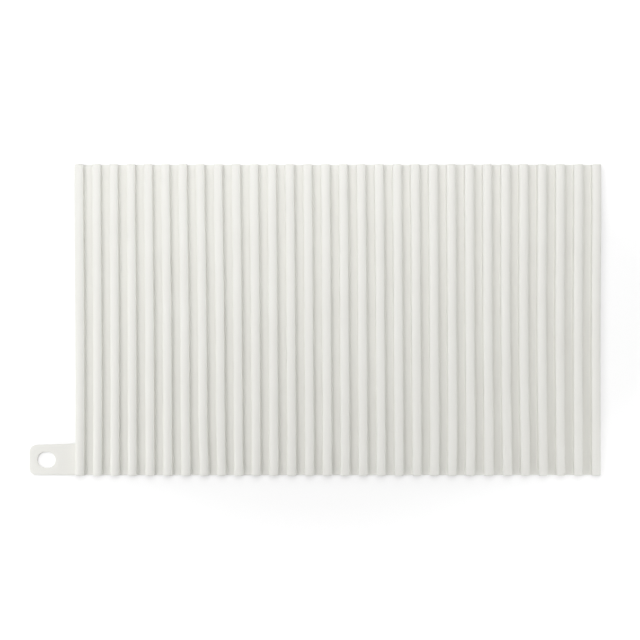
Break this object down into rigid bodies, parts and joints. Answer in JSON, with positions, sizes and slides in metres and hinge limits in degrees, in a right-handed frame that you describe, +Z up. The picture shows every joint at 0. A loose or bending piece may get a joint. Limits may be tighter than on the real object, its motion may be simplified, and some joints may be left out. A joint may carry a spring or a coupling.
{
  "type": "dish drying mat",
  "caption": "Ribbed silicone mat that washed dishes dry on, with valleys that drain; it rolls up for storage and hangs by a holed tab.",
  "frame": {"origin": "middle of the footprint, hang tab included, on the table that the mat lies on", "axes": "+X across the ribs, away from the hang tab, +Y along the ribs, from the edge that the tab lies flush with to the other one, +Z up from the table"},
  "size_m": [0.482, 0.262, 0.0075],
  "materials": {
    "silicone": "matte"
  },
  "bodies": {
    "rib_01": {"rib_01": "silicone"},
    "rib_02": {"rib_02": "silicone"},
    "rib_03": {"rib_03": "silicone"},
    "rib_04": {"rib_04": "silicone"},
    "rib_05": {"rib_05": "silicone"},
    "rib_06": {"rib_06": "silicone"},
    "rib_07": {"rib_07": "silicone"},
    "rib_08": {"rib_08": "silicone"},
    "rib_09": {"rib_09": "silicone"},
    "rib_10": {"rib_10": "silicone"},
    "rib_11": {"rib_11": "silicone"},
    "rib_12": {"rib_12": "silicone"},
    "rib_13": {"rib_13": "silicone"},
    "rib_14": {"rib_14": "silicone"},
    "rib_15": {"rib_15": "silicone"},
    "rib_16": {"rib_16": "silicone"},
    "rib_17": {"rib_17": "silicone"},
    "rib_18": {"rib_18": "silicone"},
    "rib_19": {"rib_19": "silicone"},
    "rib_20": {"rib_20": "silicone"},
    "rib_21": {"rib_21": "silicone"},
    "rib_22": {"rib_22": "silicone"},
    "rib_23": {"rib_23": "silicone"},
    "rib_24": {"rib_24": "silicone"},
    "rib_25": {"rib_25": "silicone"},
    "rib_26": {"rib_26": "silicone"},
    "rib_27": {"rib_27": "silicone"},
    "rib_28": {"rib_28": "silicone"},
    "rib_29": {"rib_29": "silicone"},
    "rib_30": {"rib_30": "silicone"},
    "hang_tab": {"hang_tab": "silicone"}
  },
  "joints": [
    {"name": "tab_flex", "type": "hinge", "parent": "rib_01", "child": "hang_tab", "pos_m": [-0.20322, -0.1177, 0.001], "axis": [0, 1, 0], "range_deg": [0, 90], "stiffness_Nm_per_rad": 0.009},
    {"name": "web_01_bend", "type": "hinge", "parent": "rib_01", "child": "rib_02", "pos_m": [-0.19045, 0, 0.0008], "axis": [0, -1, 0], "range_deg": [0, 1.9], "stiffness_Nm_per_rad": 0.03},
    {"name": "web_02_bend", "type": "hinge", "parent": "rib_02", "child": "rib_03", "pos_m": [-0.17545, 0, 0.0008], "axis": [0, -1, 0], "range_deg": [0, 1.9], "stiffness_Nm_per_rad": 0.03},
    {"name": "web_03_bend", "type": "hinge", "parent": "rib_03", "child": "rib_04", "pos_m": [-0.16045, 0, 0.0008], "axis": [0, -1, 0], "range_deg": [0, 9.9], "stiffness_Nm_per_rad": 0.03},
    {"name": "web_04_bend", "type": "hinge", "parent": "rib_04", "child": "rib_05", "pos_m": [-0.14545, 0, 0.0008], "axis": [0, -1, 0], "range_deg": [0, 20], "stiffness_Nm_per_rad": 0.03},
    {"name": "web_05_bend", "type": "hinge", "parent": "rib_05", "child": "rib_06", "pos_m": [-0.13045, 0, 0.0008], "axis": [0, -1, 0], "range_deg": [0, 20.3], "stiffness_Nm_per_rad": 0.03},
    {"name": "web_06_bend", "type": "hinge", "parent": "rib_06", "child": "rib_07", "pos_m": [-0.11545, 0, 0.0008], "axis": [0, -1, 0], "range_deg": [0, 20.6], "stiffness_Nm_per_rad": 0.03},
    {"name": "web_07_bend", "type": "hinge", "parent": "rib_07", "child": "rib_08", "pos_m": [-0.10045, 0, 0.0008], "axis": [0, -1, 0], "range_deg": [0, 20.9], "stiffness_Nm_per_rad": 0.03},
    {"name": "web_08_bend", "type": "hinge", "parent": "rib_08", "child": "rib_09", "pos_m": [-0.08545, 0, 0.0008], "axis": [0, -1, 0], "range_deg": [0, 21.2], "stiffness_Nm_per_rad": 0.03},
    {"name": "web_09_bend", "type": "hinge", "parent": "rib_09", "child": "rib_10", "pos_m": [-0.07045, 0, 0.0008], "axis": [0, -1, 0], "range_deg": [0, 21.6], "stiffness_Nm_per_rad": 0.03},
    {"name": "web_10_bend", "type": "hinge", "parent": "rib_10", "child": "rib_11", "pos_m": [-0.05545, 0, 0.0008], "axis": [0, -1, 0], "range_deg": [0, 21.9], "stiffness_Nm_per_rad": 0.03},
    {"name": "web_11_bend", "type": "hinge", "parent": "rib_11", "child": "rib_12", "pos_m": [-0.04045, 0, 0.0008], "axis": [0, -1, 0], "range_deg": [0, 22.3], "stiffness_Nm_per_rad": 0.03},
    {"name": "web_12_bend", "type": "hinge", "parent": "rib_12", "child": "rib_13", "pos_m": [-0.02545, 0, 0.0008], "axis": [0, -1, 0], "range_deg": [0, 22.7], "stiffness_Nm_per_rad": 0.03},
    {"name": "web_13_bend", "type": "hinge", "parent": "rib_13", "child": "rib_14", "pos_m": [-0.01045, 0, 0.0008], "axis": [0, -1, 0], "range_deg": [0, 23.2], "stiffness_Nm_per_rad": 0.03},
    {"name": "web_14_bend", "type": "hinge", "parent": "rib_14", "child": "rib_15", "pos_m": [0.00455, 0, 0.0008], "axis": [0, -1, 0], "range_deg": [0, 23.6], "stiffness_Nm_per_rad": 0.03},
    {"name": "web_15_bend", "type": "hinge", "parent": "rib_15", "child": "rib_16", "pos_m": [0.01955, 0, 0.0008], "axis": [0, -1, 0], "range_deg": [0, 24.1], "stiffness_Nm_per_rad": 0.03},
    {"name": "web_16_bend", "type": "hinge", "parent": "rib_16", "child": "rib_17", "pos_m": [0.03455, 0, 0.0008], "axis": [0, -1, 0], "range_deg": [0, 24.6], "stiffness_Nm_per_rad": 0.03},
    {"name": "web_17_bend", "type": "hinge", "parent": "rib_17", "child": "rib_18", "pos_m": [0.04955, 0, 0.0008], "axis": [0, -1, 0], "range_deg": [0, 25.2], "stiffness_Nm_per_rad": 0.03},
    {"name": "web_18_bend", "type": "hinge", "parent": "rib_18", "child": "rib_19", "pos_m": [0.06455, 0, 0.0008], "axis": [0, -1, 0], "range_deg": [0, 25.7], "stiffness_Nm_per_rad": 0.03},
    {"name": "web_19_bend", "type": "hinge", "parent": "rib_19", "child": "rib_20", "pos_m": [0.07955, 0, 0.0008], "axis": [0, -1, 0], "range_deg": [0, 26.4], "stiffness_Nm_per_rad": 0.03},
    {"name": "web_20_bend", "type": "hinge", "parent": "rib_20", "child": "rib_21", "pos_m": [0.09455, 0, 0.0008], "axis": [0, -1, 0], "range_deg": [0, 27.1], "stiffness_Nm_per_rad": 0.03},
    {"name": "web_21_bend", "type": "hinge", "parent": "rib_21", "child": "rib_22", "pos_m": [0.10955, 0, 0.0008], "axis": [0, -1, 0], "range_deg": [0, 27.8], "stiffness_Nm_per_rad": 0.03},
    {"name": "web_22_bend", "type": "hinge", "parent": "rib_22", "child": "rib_23", "pos_m": [0.12455, 0, 0.0008], "axis": [0, -1, 0], "range_deg": [0, 28.6], "stiffness_Nm_per_rad": 0.03},
    {"name": "web_23_bend", "type": "hinge", "parent": "rib_23", "child": "rib_24", "pos_m": [0.13955, 0, 0.0008], "axis": [0, -1, 0], "range_deg": [0, 29.4], "stiffness_Nm_per_rad": 0.03},
    {"name": "web_24_bend", "type": "hinge", "parent": "rib_24", "child": "rib_25", "pos_m": [0.15455, 0, 0.0008], "axis": [0, -1, 0], "range_deg": [0, 30.4], "stiffness_Nm_per_rad": 0.03},
    {"name": "web_25_bend", "type": "hinge", "parent": "rib_25", "child": "rib_26", "pos_m": [0.16955, 0, 0.0008], "axis": [0, -1, 0], "range_deg": [0, 31.5], "stiffness_Nm_per_rad": 0.03},
    {"name": "web_26_bend", "type": "hinge", "parent": "rib_26", "child": "rib_27", "pos_m": [0.18455, 0, 0.0008], "axis": [0, -1, 0], "range_deg": [0, 32.6], "stiffness_Nm_per_rad": 0.03},
    {"name": "web_27_bend", "type": "hinge", "parent": "rib_27", "child": "rib_28", "pos_m": [0.19955, 0, 0.0008], "axis": [0, -1, 0], "range_deg": [0, 33.9], "stiffness_Nm_per_rad": 0.03},
    {"name": "web_28_bend", "type": "hinge", "parent": "rib_28", "child": "rib_29", "pos_m": [0.21455, 0, 0.0008], "axis": [0, -1, 0], "range_deg": [0, 35.4], "stiffness_Nm_per_rad": 0.03},
    {"name": "web_29_bend", "type": "hinge", "parent": "rib_29", "child": "rib_30", "pos_m": [0.22955, 0, 0.0008], "axis": [0, -1, 0], "range_deg": [0, 37.1], "stiffness_Nm_per_rad": 0.03}
  ]
}
